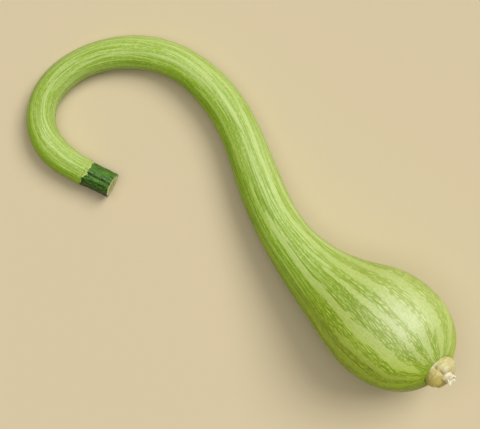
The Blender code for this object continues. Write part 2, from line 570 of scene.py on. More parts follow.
soft_sun("window", WINDOW_WAY, strength=2.15, spread_deg=34.0, tint=(1.0, 0.985, 0.95))
soft_sun("ceiling", CEILING_WAY, strength=1.05, spread_deg=50.0, tint=(1.0, 0.99, 0.96))

world = bpy.data.worlds.new("room")
world.use_nodes = True
room = world.node_tree.nodes["Background"]
room.inputs["Color"].default_value = ROOM_LIGHT
room.inputs["Strength"].default_value = ROOM_STRENGTH
bpy.context.scene.world = world
bpy.context.scene.view_settings.view_transform = "Standard"
print("lamps:", [lamp.name for lamp in bpy.data.lights])

# %% [markdown]
# ## The fruit
# Neck and bulb are one skin. Its outline is a short list of radii along the axis with
# a smooth curve through them, and it is turned round the axis. Two things keep it from
# looking turned on a lathe: shallow ribs that run in to the button, and slow swellings
# along the neck that lie now on one side and now on the other. The end folds back in,
# and leaves a dimple for the button's foot.

# %% Fruit sizes
FRUIT_OUTLINE_MM = [
    (0.0, 9.7), (0.7, 10.7), (5.0, 11.4), (18.0, 11.7), (60.0, 11.8), (110.0, 12.0),
    (155.0, 13.1), (205.0, 14.3), (255.0, 15.8), (305.0, 17.1), (345.0, 18.6),
    (370.0, 20.0), (391.0, 23.2), (408.0, 27.4), (424.0, 32.7), (440.0, 38.4),
    (456.0, 43.4), (474.0, 45.6), (490.0, 44.1), (504.0, 39.0), (514.0, 31.3),
    (520.0, 23.6), (523.2, 17.2), (523.8, 14.0), (522.6, 12.3), (520.4, 11.9),
]
RIB_COUNT = 10
RIB_DEPTH_MM = [(0, 0.0), (8, 0.25), (60, 0.15), (380, 0.2), (470, 0.5), (512, 1.0)]
RIB_FADE = (512.0, 523.0)
LUMP_SHARE = 0.012  # of the radius
LUMP_LENGTH_MM = 74.0
LUMPY = (10, 60, 420, 500)  # mm: the swellings begin, are full, grow less and end

SKIN_SIDES = 220
SKIN_RINGS = 430
widest = max(FRUIT_OUTLINE_MM, key=lambda point: point[1])
print(f"widest at {widest[0]:.0f} mm: {2 * widest[1]:.0f} mm across")

# %% Fruit shape
skin_distance, skin_radius, skin_along = smooth_outline(FRUIT_OUTLINE_MM, SKIN_RINGS)
skin_angle = round_angles(SKIN_SIDES)

rib_depth = np.interp(skin_distance, *zip(*RIB_DEPTH_MM))
rib_depth = rib_depth * (1 - smooth_step(skin_distance, *RIB_FADE))
furrow = (1 - np.cos(RIB_COUNT * skin_angle)) / 2
lump_turn = 2 * math.pi * skin_distance / LUMP_LENGTH_MM
lumpy = smooth_step(skin_distance, *LUMPY[:2])
lumpy = lumpy * (1 - smooth_step(skin_distance, *LUMPY[2:]))
lump = LUMP_SHARE * lumpy * np.sin(lump_turn + 1.2 * np.cos(skin_angle + 0.4))
skin_reach = skin_radius * (1 + lump) - rib_depth * furrow
skin_rings = on_axis(skin_distance, skin_angle, skin_reach)
print(f"skin length {skin_along[-1, 0]:.0f} mm")

# %% [markdown]
# ## Where the stripes run
# A squash's pale stripes follow the bundles that feed it, from stem to button. They
# could come from random noise alone, but each squash has its own stripes, and these
# are laid one by one, like brush strokes: where a stroke starts and ends along the skin,
# its way round from the top at both ends, its half width in degrees, and how pale it
# is. Widths in degrees narrow by themselves where the fruit narrows. The whole skin
# also twists a little as the neck curls, and the strokes twist with it.

# %% Stripe strokes
TWIST_DEG = [
    (0, -24), (30, -22), (50, -12), (60, -4), (80, 8), (100, 14), (120, 18), (140, 17),
    (160, 12), (180, 9), (200, 8), (220, 5), (260, 3), (300, -2), (340, 0), (380, 5),
    (420, 3), (460, -4), (500, -13), (540, -22),
]
STROKES = [
    # start, end, way round at the start and at the end, half width, paleness
    (0, 97, -33, -10, 3.4, 0.9),
    (94, 123, -6, -8, 2.2, 0.7),
    (18, 70, 10, 11, 2.6, 0.8),
    (-8, 130, 36, 32, 3.4, 0.6),
    (92, 164, 9, 8, 2.6, 0.6),
    (138, 226, 33, 30, 4.5, 0.9),
    (50, 134, -66, -70, 4.0, 0.6),
    (146, 236, -66, -55, 3.5, 0.4),
    (104, 150, -35, -28, 3.0, 0.8),
    (140, 236, -22, -10, 4.4, 0.9),
    (82, 106, -28, -35, 6.0, 0.5),
    (184, 276, 12, 3, 2.8, 0.95),
    (234, 272, 5, 4, 5.6, 1.0),
    (203, 240, 0, -1, 2.0, 0.7),
    (228, 258, -12, -12, 1.7, 0.6),
    (222, 308, -41, -34, 4.6, 0.7),
    (276, 339, 0, 4, 2.8, 0.85),
    (266, 314, -17, -16, 1.5, 0.5),
    (218, 258, 40, 35, 3.0, 0.8),
    (248, 300, 34, 26, 5.2, 1.0),
    (290, 402, 27, 34, 5.0, 1.0),
    (297, 326, 38, 37, 1.8, 0.7),
    (396, 545, 32, 31, 5.6, 1.0),
    (407, 540, 11, 14, 3.0, 0.95),
    (380, 416, 15, 18, 2.8, 0.9),
    (342, 420, -15, -18, 5.0, 1.0),
    (400, 536, -18, -8, 5.4, 1.0),
    (314, 368, -23, -27, 2.8, 0.8),
    (320, 414, -48, -42, 3.2, 0.7),
    (446, 538, -34, -29, 4.2, 0.8),
    (316, 545, 60, 55, 5.6, 0.9),
    (476, 516, 49, 46, 3.4, 0.9),
    (346, 536, -67, -45, 4.6, 0.6),
    (494, 545, 86, 82, 6.0, 0.7),
]
print(len(STROKES), "strokes laid by hand")

# %% [markdown]
# The underside gets strokes by a rule, at even turns with broken ends. Their random
# numbers start from a fixed seed, so every run lays the same ones.

# %% Strokes underneath
HIDDEN_SEED = 12
HIDDEN_TURNS_DEG = np.arange(104, 296, 23.0)
HIDDEN_END_MM = 520

shuffle = np.random.default_rng(HIDDEN_SEED)
for middle in HIDDEN_TURNS_DEG:
    start = shuffle.uniform(-40, 60)
    while start < HIDDEN_END_MM:
        end = start + shuffle.uniform(60, 170)
        lean = shuffle.uniform(-4, 4, 2)
        wide, pale = shuffle.uniform(2.5, 5.5), shuffle.uniform(0.5, 1.0)
        STROKES.append((start, end, middle + lean[0], middle + lean[1], wide, pale))
        start = end + shuffle.uniform(-12, 25)
print(len(STROKES), "strokes in all")

# %% [markdown]
# The strokes become two numbers on the mesh: how far inside the nearest edge a point
# is, and how pale its stroke is. A picture could hold the stripes too, but it would
# need millions of pixels to be as sharp as a distance, which the material can cut
# anywhere. Each stroke wanders a little and tapers at both ends.

# %% Stripe field
STROKE_TAPER_MM = 11.0
STROKE_WOBBLE_DEG = 0.9
FAR_MM = 9.0  # further than this from an edge makes no difference


def stroke_edges(along, angle_deg, radius, strokes):
    """How far inside the nearest stroke each point is, in mm, and how pale that is."""
    twist = np.interp(along, *zip(*TWIST_DEG))
    inside = np.full(np.broadcast_shapes(along.shape, angle_deg.shape), -FAR_MM)
    paleness = np.zeros_like(inside)
    for i, (start, end, first, last, half, pale) in enumerate(strokes):
        share = np.clip((along - start) / (end - start), 0, 1)
        ease = np.clip((along - start) / STROKE_TAPER_MM, 0, 1)
        ease = ease * np.clip((end - along) / STROKE_TAPER_MM, 0, 1)
        wobble = np.sin(along / 9.0 + 2.1 * i) + 0.7 * np.sin(along / 23.0 + 4.7 * i)
        middle = first + (last - first) * share + twist + STROKE_WOBBLE_DEG * wobble
        off = np.abs(degrees_off(angle_deg, middle))
        edge = np.radians(half * np.sqrt(ease) - off) * radius
        edge = np.where(ease > 0, edge, -FAR_MM)
        paleness = np.where(edge > inside, pale, paleness)
        inside = np.maximum(inside, edge)
    return np.clip(inside, -FAR_MM, FAR_MM), paleness


stripe_edge, stripe_pale = stroke_edges(
    skin_along, np.degrees(skin_angle), skin_radius, STROKES
)
print(f"in stripes: {(stripe_edge > 0).mean():.0%} of the points")

# %% [markdown]
# The last numbers say which way each point faces, where a painted highlight lies on the
# bulb, and where a point lies on a cylinder that turns with the twist. Then the fruit's
# mesh is made, and its map is cut across twice, so that its three strips fit a square.

# %% Fruit piece
# A whitish highlight is painted on the bulb where the window's gloss falls.
PAINTED_HIGHLIGHT_CENTRE = (486.0, 14.0)  # mm along the skin, degrees from the top
PAINTED_HIGHLIGHT_SPREAD = (33.0, 37.0)
MAP_CUTS_MM = (272.0, 408.0)

window_way_flat = unit(np.array([*WINDOW_WAY[:2], 0.0]))
outward = unit(skin_rings - on_axis(skin_distance, skin_angle, 0.0))
facing = outward @ window_way_flat
skin_twist = np.interp(skin_along, *zip(*TWIST_DEG))
from_top = degrees_off(np.degrees(skin_angle), 0)
painted_highlight = np.exp(
    -(((skin_along - PAINTED_HIGHLIGHT_CENTRE[0]) / PAINTED_HIGHLIGHT_SPREAD[0]) ** 2)
    - ((from_top - PAINTED_HIGHLIGHT_CENTRE[1]) / PAINTED_HIGHLIGHT_SPREAD[1]) ** 2
)
flow_angle = skin_angle - np.radians(skin_twist)
fruit = ringed_piece(
    "fruit_skin",
    skin_rings,
    numbers={
        "facing": facing,
        "up": outward[..., 2],
        "flow_x": np.cos(flow_angle),
        "flow_y": np.sin(flow_angle),
        "along": skin_along,
        "stripe_edge": stripe_edge,
        "stripe_pale": stripe_pale,
        "painted_highlight": painted_highlight,
    },
    cuts_mm=MAP_CUTS_MM,
    along_mm=skin_along[:, 0],
    twist_deg=skin_twist,
)

# %% [markdown]
# ## The skin
# Between the pale stripes the green isn't flat. Close up it is a net of thin dark lines
# with short pale dashes in its meshes, and all of it runs the way the fruit grew. A
# photograph wrapped round the mesh would blur close up and stretch round the hook, so
# here the net is worked out from where a point lies on the skin. Noise is read on a
# cylinder that turns with the fruit's twist, and is drawn out along its length.

# %% Skin coordinates
NECK_TURN, BULB_TURN = 14.0, 42.0  # radius of the cylinder, mm

paint = Paint("pale green skin")
facing, up = paint.number("facing"), paint.number("up")
flow_x, flow_y = paint.number("flow_x"), paint.number("flow_y")
along = paint.number("along")
turn = paint.number("turn")


def wrapped(turn_radius, stretch):
    """A place on the skin unrolled round a cylinder, drawn out along its length."""
    return paint.place(flow_x * turn_radius, flow_y * turn_radius, along / stretch)


def veins(count, wander, wobble):
    """Waves of -1 to 1 round the fruit, pushed sideways by two noises."""
    phase = turn * count + wander + wobble
    return (phase * (2 * math.pi)).sine()


print("noise cylinders:", NECK_TURN, "and", BULB_TURN, "mm")

# %% [markdown]
# Neck, shoulder and bulb carry different marks, so the next masks rise smoothly from 0
# to 1 along the skin and say how much of each a point has. The belly is the bulb's
# widest part, where the skin has stretched and grown pale. The last mask is the side
# that faces the window, which is painted paler: painted light.

# %% Where on the fruit
SHOULDER_STARTS = (255.0, 335.0)  # mm along the skin, all four
BULB_STARTS = (392.0, 436.0)
BELLY_STARTS, BELLY_ENDS = (420.0, 462.0), (496.0, 532.0)

shoulder = along.between(*SHOULDER_STARTS)
bulb = along.between(*BULB_STARTS)
neck_share = 1 - bulb
belly = along.between(*BELLY_STARTS) * (1 - along.between(*BELLY_ENDS))
# The side that faces the window is painted paler: painted light.
painted_lit_side = facing.between(0.05, 0.75)
print("neck turns into bulb between", *BULB_STARTS, "mm along the skin")

# %% [markdown]
# ## Stripes that end in whole cells
# The strokes are kept on the mesh as a distance, in mm inside the nearest edge, so the
# material can move that edge. On a real squash a stripe's edge isn't cut smooth: on the
# bulb it steps from cell to cell of the net. A cell texture gives both things, the
# walls between its cells and a random number for each cell, and there that number
# pushes the edge in or out for the whole cell. On the neck noise alone roughens it.

# %% Noises and cells
slow = paint.clouds(wrapped(BULB_TURN, 6.0), 0.085)
sway = paint.clouds(wrapped(BULB_TURN, 3.2), 0.13)
quick = paint.clouds(wrapped(BULB_TURN, 3.0), 0.34, 2.0, 0.6)
fading = paint.clouds(wrapped(BULB_TURN, 12.0), 0.42, 3.0, 0.65)
patchy = paint.clouds(wrapped(BULB_TURN, 3.5), 0.055)

CELLS_PER_MM, CELL_STRETCH = 0.50, 3.6
CELL_SHIFT = 3.0  # along the fruit, which picks other cells
sideways = 1.2 * (quick - 0.5)
cell_place = paint.place(
    flow_x * BULB_TURN + sideways,
    flow_y * BULB_TURN - sideways,
    along / CELL_STRETCH + CELL_SHIFT,
)
inner = paint.cells(cell_place, CELLS_PER_MM)
tile = paint.cell_random(cell_place, CELLS_PER_MM)
walls = 1 - inner.between(0.02, 0.15)
print(f"cells: {1 / CELLS_PER_MM:.1f} by {CELL_STRETCH / CELLS_PER_MM:.1f} mm")

# %% Stripe edges
CELL_JUMP_MM = 2.2

ragged = (quick - 0.5) * (0.3 + 2.5 * bulb) + (fading - 0.5) * (1.0 + 5.0 * bulb)
ragged = ragged + (tile - 0.5) * CELL_JUMP_MM * bulb
edge = (paint.number("stripe_edge") + 0.1 + ragged) / (0.4 + 0.2 * bulb)
stripe = edge.between(-1.0, 1.0) * paint.number("stripe_pale")
print("a cell moves a stripe's edge by up to", CELL_JUMP_MM / 2, "mm")

# %% [markdown]
# ## Veins
# Random noise alone makes clouds or closed loops. Here each set of veins is a sine of
# the way round, so the veins stay nearly parallel, draw together where the fruit
# narrows and meet at the button. Noise pushes the sine sideways, which makes them
# wander, and a second noise decides where each vein is thick, thin or missing. Two sets
# with different counts cross now and then, and with the walls of the cells they make
# the net. The neck has fine dark hairlines instead, and the shoulder has some of both.

# %% Veins
BULB_VEINS, BULB_CROSSING_VEINS, SHOULDER_VEINS = 128, 109, 47

level = 0.36 + 0.75 * stripe + 1.5 * (fading - 0.5) - 0.8 * (patchy - 0.5)
first = (veins(BULB_VEINS, 6.5 * slow, 1.1 * quick) - level).between(0.0, 0.45)
crossing = veins(BULB_CROSSING_VEINS, -5.0 * sway, 1.1 * quick)
second = (crossing - (level + 0.25)).between(0.0, 0.45)
bulb_dark = first.most(0.9 * second).most(0.8 * walls * (1 - stripe))

fine = paint.clouds(wrapped(NECK_TURN, 34.0), 0.86, 3.0, 0.55)
neck_dark = fine.between(0.51, 0.62)
shoulder_level = 0.30 + 0.75 * stripe + 2.6 * (fading - 0.5)
shoulder_dark = veins(SHOULDER_VEINS, 2.4 * slow, 0.7 * quick) - shoulder_level
shoulder_dark = (0.9 * shoulder_dark.between(0.0, 0.5)).most(0.45 * neck_dark)

dark = 0.52 * neck_dark * (1 - shoulder) + shoulder_dark * shoulder * neck_share
dark = dark + bulb_dark * bulb
girth = 2 * math.pi * skin_radius.max()
print(f"veins {girth / BULB_VEINS:.1f} mm apart at the widest")

# %% [markdown]
# ## Pale marks
# The pale marks are the veins' opposite: long hairlines and a grain of small specks on
# the neck, and on the bulb a dash in the middle of each cell, brighter in some cells
# than in others.

# %% Pale marks
NECK_SPECKS_PER_MM, BULB_SPECKS_PER_MM = 0.95, 0.72

grain = paint.clouds(wrapped(NECK_TURN, 2.6), NECK_SPECKS_PER_MM, 2.0, 0.6)
bulb_grain = paint.clouds(wrapped(BULB_TURN, 1.8), BULB_SPECKS_PER_MM, 2.0, 0.55)
speck = grain.between(0.48, 0.62) * neck_share + bulb_grain.between(0.48, 0.68) * bulb
pale_streak = (1 - fine).between(0.52, 0.61) * neck_share * 0.72
dash = inner.between(0.12, 0.32) * (0.42 + 0.8 * tile) * bulb * (1 - 0.6 * stripe)
stripe_mottle = (1 - bulb_grain).between(0.44, 0.62) * stripe * bulb
print(f"neck specks about {1 / NECK_SPECKS_PER_MM:.1f} mm across")

# %% [markdown]
# ## Skin colours
# The colours are laid on in a painter's order: ground, stripes, mottle, specks, dashes,
# veins. A whitish highlight is painted on the bulb where the window's gloss falls, and
# there the skin is paler and its veins are fainter. The side that faces the window is
# painted paler too, and the side turned away from it and the underside are painted
# deeper and yellower: painted light and painted shade. The skin is half matt with its
# wax, so its gloss is broad and soft.

# %% Ground and stripes
# Painted highlight: the skin is painted whiter where the window's gloss falls on the bulb.
painted_highlight = paint.number("painted_highlight")
# The ground is painted paler on the side that faces the window: painted light.
wash = 1 - 0.6 * belly - 0.08 * painted_lit_side - 0.25 * shoulder * (1 - belly) - 0.15 * bulb
green_share = wash * (0.95 - (0.3 + 0.2 * bulb) * painted_lit_side)
pale_skin = paint.mixed(bulb, colour(191, 212, 126), colour(192, 211, 120))
pale_skin = paint.mixed(painted_highlight * 0.45, pale_skin, colour(227, 231, 206))
green = paint.mixed(bulb, colour(150, 182, 56), colour(163, 192, 44))
skin = paint.mixed(green_share, pale_skin, green)
skin = paint.mixed(stripe.most(pale_streak), skin, pale_skin)
skin = paint.mixed(stripe_mottle * 0.28, skin, green)
print("ground and stripes:", len(paint.tree.nodes), "nodes")

# %% Specks, dashes and veins
speck_share = (0.42 - 0.02 * bulb) * (1 - 0.3 * stripe)
skin = paint.mixed(speck * speck_share, skin, colour(211, 226, 154))
# Dashes and veins are painted paler on the side that faces the window and under the
# painted highlight: painted light.
dash_colour = paint.mixed(painted_highlight, colour(208, 224, 128), colour(224, 231, 172))
dash_share = (dash * (0.68 + 0.24 * painted_lit_side)).between(0.0, 1.0)
skin = paint.mixed(dash_share, skin, dash_colour)
vein_colour = paint.mixed(painted_lit_side * 0.5, colour(118, 152, 0), colour(152, 180, 0))
vein_share = (0.82 - 0.3 * stripe - 0.12 * bulb * painted_lit_side) * (1 - 0.42 * painted_highlight)
skin = paint.mixed(dark * vein_share, skin, vein_colour)
print("with specks, dashes and veins:", len(paint.tree.nodes), "nodes")

# %% Painted shade on the low sides, and finish
# Painted shade: the side turned away from the window and the underside are tinted deeper
# and yellower, the far flank deeper still.
painted_shade = (0 - facing).between(-0.1, 0.85).most((0 - up).between(-0.45, 0.3))
painted_shade = painted_shade * (0.9 - 0.25 * stripe)
painted_shade_tint = paint.mixed(bulb, colour(236, 254, 124), colour(250, 255, 124))
skin = paint.mixed(painted_shade, skin, painted_shade_tint, "MULTIPLY")
deepest_painted_shade = (0 - facing).between(0.6, 1.0)
skin = paint.mixed(deepest_painted_shade, skin, colour(232, 236, 84), "MULTIPLY")

net_relief = paint.bumped(speck - dark * 0.5, 0.10, 0.5)
skin_relief = paint.bumped(patchy, 0.5, 0.4, net_relief)
fruit.data.materials.append(
    paint.finish(
        Base_Color=skin,
        Roughness=0.42 + 0.08 * quick - 0.03 * bulb,
        Normal=skin_relief,
        Specular_IOR_Level=0.30,
        Subsurface_Weight=0.08,
        Subsurface_Radius=(0.8, 1.0, 0.35),
        Subsurface_Scale=3 * MM,
    )
)
print("whole skin:", len(paint.tree.nodes), "nodes")

# %% [markdown]
# ## The stem
# The stalk of a squash has five blunt ridges with deep grooves between them, and its
# skin is warty and much darker than the fruit. Its foot grips the end of the neck with
# no step, so the rings start on the neck's own radius, a hair outside it, and swell to
# the stalk's from there, slower on one side than on the other. A star shape pulled out
# along a curve would be quicker, but its grooves would be as deep at the foot, where
# the real ones run out.

# %% Stem shape
STEM_SIDES = 180
STEM_RINGS = 110
STEM_RADIUS = 9.9
STEM_RIDGES = 5
STEM_GROOVE_DEPTH = 1.3
STEM_FINE_GROOVES = 15
STEM_FINE_DEPTH = 0.25
STEM_CUT_SLOPE = math.tan(math.radians(8))
STEM_LAP_MM = 0.4
STEM_WART_MM = 0.34
STEM_TURN = 10.0  # radius of the cylinder that noise is read on, mm
STEM_CLEAR_MM = 0.15  # how far the foot stands off the neck
STEM_CORNER_MM = 0.25  # the corner at the cut is rounded off by this much
STEM_SWELL_MM = 0.25  # how far the ridges stand out from the stem's plain radius


def grooves(angle, count, power=2.0):
    """Narrow grooves between round ridges: 1 in a groove, 0 on a ridge's crest."""
    return (1 - np.abs(np.sin(count * angle / 2))) ** power


stem_angle = round_angles(STEM_SIDES)
lobe = np.abs(np.sin(STEM_RIDGES * stem_angle / 2)) ** 0.7
lap = STEM_LAP_MM * (1 + lobe)
body_share = np.linspace(0, 1, STEM_RINGS)[:, None]
back = -lap + body_share * (STEM_LENGTH - STEM_CORNER_MM + lap)
neck = slice(0, 120)  # the rings of the neck, whose distances only grow
on_neck = np.interp(
    np.maximum(-back, 1.5), skin_distance[neck, 0], skin_radius[neck, 0]
)
on_neck = on_neck + STEM_CLEAR_MM
ridge_depth = STEM_GROOVE_DEPTH * grooves(stem_angle, STEM_RIDGES)
fine_grooves = grooves(stem_angle + 0.3, STEM_FINE_GROOVES, 1.5)
ridge_depth = ridge_depth + STEM_FINE_DEPTH * fine_grooves
stalk = STEM_RADIUS + STEM_SWELL_MM - ridge_depth * smooth_step(back, 0.4, 4.0)
widens_over_mm = 1.2 + 7.0 * smooth_step(np.sin(stem_angle), 0.1, 0.8)
widened = smooth_step(back / widens_over_mm, -0.4, 1.0)
stem_reach = on_neck + (stalk - on_neck) * widened
print(f"stem radius {stem_reach.min():.1f} to {stem_reach.max():.1f} mm")

# %% Warts
WART_SIZE_MM, FINE_WART_SIZE_MM = 1.3, 0.7

flat_stem = wound(STEM_TURN, stem_angle, back / 1.6)
warts = np.maximum(rough(flat_stem, WART_SIZE_MM), 0)
warts = warts + 0.5 * rough(flat_stem, FINE_WART_SIZE_MM, 5.0)
stem_reach = stem_reach + STEM_WART_MM * warts * smooth_step(back, 0.5, 3.0)
print(f"warts up to {STEM_WART_MM * warts.max():.2f} mm high")

# %% [markdown]
# The knife left a flat face that slants a little, with a nicked edge and raised fibres.
# Stalk and face are one skin of rings, so they share their corner. The face's rings are
# shares of the stalk's last one, and lie close together near the edge.

# %% Cut end
FACE_SHARES = [0.985, 0.95, 0.92, 0.88, 0.82, 0.74, 0.64, 0.52, 0.40, 0.28, 0.16, 0.07]
FACE_SINK_MM = 0.45
FACE_FIBRE_MM = 0.22

nick = 0.09 * np.abs(rough(flat_stem[-1:], 1.4, 9.0))
face_share = np.array(FACE_SHARES)[:, None]
face_reach = stem_reach[-1:] * (face_share - nick * smooth_step(face_share, 0.5, 0.95))
face_place = wound(face_reach, stem_angle, 0.0)
fibres = rough(face_place, 1.1) + 0.6 * rough(face_place, 0.5, 4.0)
sink = FACE_SINK_MM * smooth_step(1 - face_share, 0.06, 0.2)
face_back = back[-1:] + STEM_CORNER_MM - sink + FACE_FIBRE_MM * fibres
print(len(FACE_SHARES), "rings across the cut")

# %% Stem piece
FOOT_EDGE_MM = 0.35  # thickness of the stem's skin where it ends on the neck
PALE_FOOT_MM = 1.9  # how far up the stem the fruit's green runs

start_reach = stem_reach[:1] - FOOT_EDGE_MM
all_back = np.concatenate([back[:1], back, face_back])
all_reach = np.concatenate([start_reach, stem_reach, face_reach])
slope = STEM_CUT_SLOPE * np.clip(all_back, 0, None) / STEM_LENGTH
askew = slope * all_reach * np.cos(stem_angle)
stem_rings = on_axis(askew - all_back, stem_angle, all_reach)
is_cut = np.zeros((len(all_back), 1))
is_cut[-len(face_share) :] = 1.0
teeth = 0.6 * np.sin(9 * stem_angle + 0.6) + 0.3 * np.sin(21 * stem_angle + 1.0)
foot_edge = PALE_FOOT_MM - 2.2 * smooth_step(np.sin(stem_angle), 0.0, 0.6) + 0.9 * teeth
stem = ringed_piece(
    "stem_stalk",
    stem_rings,
    numbers={
        **way_round(stem_angle),
        "along": all_back,
        "out": all_reach / STEM_RADIUS,
        "cut": is_cut,
        "groove_shade": grooves(stem_angle, STEM_RIDGES, 1.2),
        "foot_edge": foot_edge,
    },
)

# %% [markdown]
# ## Stem skin
# The stalk is mottled dark and mid green, with pale warts. Lighter streaks along it are a
# painted sheen of its ridges, the warts are painted bright enough to stand for their
# glints, the grooves are painted nearly black as painted shade, and the side that faces
# the window is painted lighter and the far side darker. Where it joins the fruit, the
# fruit's pale green runs up a little way and ends in teeth. Those teeth could be cut into
# the mesh, but on the real stalk they are a change of colour with no step, so they are
# painted: a reach kept on the mesh for each way round, pushed in and out by the mottle.

# %% Stem skin
MOTTLE_PER_MM = 0.45

paint = Paint("dark green stem")
round_x, round_y = paint.number("round_x"), paint.number("round_y")
along = paint.number("along")
ring_x, ring_y = round_x * STEM_TURN, round_y * STEM_TURN
stalk_place = paint.place(ring_x, ring_y, along / 2.5)
mottle = paint.clouds(stalk_place, MOTTLE_PER_MM, 4.0, 0.6)
warts_and_glints = paint.clouds(stalk_place, 1.2, 3.0, 0.65)
sheen_streak = paint.clouds(paint.place(ring_x, ring_y, along / 9), 0.6, 3.0)
foot_streak = paint.clouds(paint.place(ring_x, ring_y, along / 12), 0.9, 3.0)

stalk = paint.mixed(mottle.between(0.40, 0.62), colour(24, 70, 0), colour(72, 124, 4))
# Lighter streaks along the stalk are a painted sheen of its ridges.
stalk = paint.mixed(sheen_streak.between(0.5, 0.64) * 0.6, stalk, colour(92, 140, 40))
# The pale warts are painted bright enough to stand for their glints too: warts and painted
# highlight.
stalk = paint.mixed(warts_and_glints.between(0.58, 0.68) * 0.85, stalk, colour(150, 184, 84))
# The grooves are painted nearly black: painted shade.
groove_shade = paint.number("groove_shade").between(0.62, 0.97)
stalk = paint.mixed(groove_shade * 0.8, stalk, colour(10, 34, 0))
# The side that faces the window is painted lighter and the far side darker: painted light
# and shade.
stem_painted_light = (0 - round_y).between(-0.1, 0.5)
stalk = paint.mixed(stem_painted_light * 0.3, stalk, colour(96, 140, 60))
stem_painted_shade = round_y.between(0.1, 0.9)
stalk = paint.mixed(stem_painted_shade, stalk, colour(170, 178, 90), "MULTIPLY")
print(f"stem mottle about {1 / MOTTLE_PER_MM:.1f} mm across")

# %% Pale foot
foot_share = foot_streak.between(0.35, 0.65)
foot = paint.mixed(foot_share, colour(156, 186, 66), colour(196, 214, 128))
foot_reach = paint.number("foot_edge") + 1.5 * (mottle - 0.5) - along
stalk = paint.mixed(foot_reach.between(-0.3, 0.3), stalk, foot)
print(f"pale foot ends {foot_edge.min():.1f} to {foot_edge.max():.1f} mm up the stem")

# %% [markdown]
# ## Cut face
# A fresh cut is pale pith in a dark green rim, beaded with drops of sap. A number on
# the mesh says which rings belong to the face, so one material can paint both skins. A
# second material for the face would do as well, but then the rim, where one runs into
# the other, would show a hard line.

# %% Cut face
out = paint.number("out")
face_flat = paint.place(ring_x * out, ring_y * out, 0.0)
cut = paint.number("cut").between(0.3, 0.7)
pith = paint.clouds(face_flat, 0.5, 4.0, 0.7).between(0.35, 0.65)
drops = paint.clouds(face_flat, 0.9)
flesh = paint.mixed(pith, colour(150, 162, 78), colour(205, 210, 138))
rim = (out + 0.16 * (drops - 0.5)).between(0.86, 0.95)
flesh = paint.mixed(rim, flesh, colour(52, 88, 22))
beads = drops.between(0.52, 0.58) * out.between(0.3, 0.7)
flesh = paint.mixed(beads, flesh, colour(240, 240, 214))
stem.data.materials.append(
    paint.finish(
        Base_Color=paint.mixed(cut, stalk, flesh),
        Roughness=0.40 + 0.25 * cut,
        Normal=paint.bumped(warts_and_glints + 0.6 * mottle, 0.35, 0.8),
        Specular_IOR_Level=0.32,
    )
)
print("stem:", len(paint.tree.nodes), "nodes")

# %% [markdown]
# ## The button
# The scar of the flower has dried into a knob of cork with three lobes and deep
# creases between them. It is wider than its foot, so it overhangs the skin like a
# cushion, and its foot sits in a dimple. Sculpting would give such a form by eye. Here
# the creases are listed with their way round, depth and width, and push the rings in,
# so each one can be set against the real knob and changed by itself. One broad hump
# stands up beside the flower's stub.

# %% Button sizes
BUTTON_SIDES = 180
BUTTON_RINGS = 120
BUTTON_OUTLINE_MM = [
    (520.5, 11.9), (521.2, 12.3), (522.6, 12.8), (524.6, 13.3), (527.0, 13.7),
    (529.6, 13.2), (531.8, 11.7), (533.2, 9.4), (533.7, 7.0), (533.4, 5.4),
    (532.6, 4.2),
]
BUTTON_CREASES = [  # way round in degrees, depth in mm, width in degrees
    (-1, 1.2, 10),
    (128, 1.0, 12),
    (-112, 1.1, 12),
]
BUTTON_TURN = 12.0  # radius of the cylinder that noise is read on, mm
CREASE_WANDER_DEG = 3
HUMP_WAY_DEG, HUMP_WIDTH_DEG, HUMP_HEIGHT = 27, 20, 0.9


def creases(along, angle):
    """How deep the wandering creases of the button are, in mm."""
    depth = np.zeros(np.broadcast_shapes(along.shape, angle.shape))
    for centre, deep, wide in BUTTON_CREASES:
        middle = centre + CREASE_WANDER_DEG * np.sin(along * 0.6)
        off = degrees_off(np.degrees(angle), middle)
        depth = depth + deep * np.exp(-((off / wide) ** 2))
    return depth


print(len(BUTTON_CREASES), "creases")

# %% Button outline
button_line = smooth_outline(BUTTON_OUTLINE_MM, BUTTON_RINGS)
button_distance, button_radius, button_along = button_line
button_angle = round_angles(BUTTON_SIDES)
print(f"button {2 * button_radius.max():.1f} mm across")

# %% Creases, wrinkles and hump
WRINKLE_SIZE_MM, FINE_WRINKLE_SIZE_MM = 6.0, 2.4

free = smooth_step(button_distance, 522.0, 526.0) * smooth_step(button_radius, 4.4, 8.0)
crease = creases(button_along, button_angle) * free
flat_button = wound(BUTTON_TURN, button_angle, 1.3 * button_along)
wrinkle = 0.5 * rough(flat_button, WRINKLE_SIZE_MM)
wrinkle = wrinkle + 0.26 * rough(flat_button, FINE_WRINKLE_SIZE_MM, 3.0)
button_reach = button_radius + wrinkle * free
off_hump = degrees_off(np.degrees(button_angle), HUMP_WAY_DEG)
hump = np.exp(-((off_hump / HUMP_WIDTH_DEG) ** 2))
hump = hump * smooth_step(button_radius, 5.5, 8.0)
hump = hump * (1 - smooth_step(button_radius, 10.0, 12.0))
hump = hump * smooth_step(button_distance, 529, 532)
print(f"creases up to {crease.max():.1f} mm deep")

# %% Button piece
PUSH_BACK, PUSH_IN = 0.55, 0.85  # for each mm of a crease's depth

button_out = on_axis(button_distance, button_angle, button_reach)
button_in = on_axis(button_distance - PUSH_BACK, button_angle, button_reach - PUSH_IN)
pushed = (crease - HUMP_HEIGHT * hump)[..., None]
button_rings = button_out + (button_in - button_out) * pushed
button = ringed_piece(
    "button_cork",
    button_rings,
    numbers={
        **way_round(button_angle),
        "along": button_along,
        "crease": crease,
        "hump": hump,
    },
)

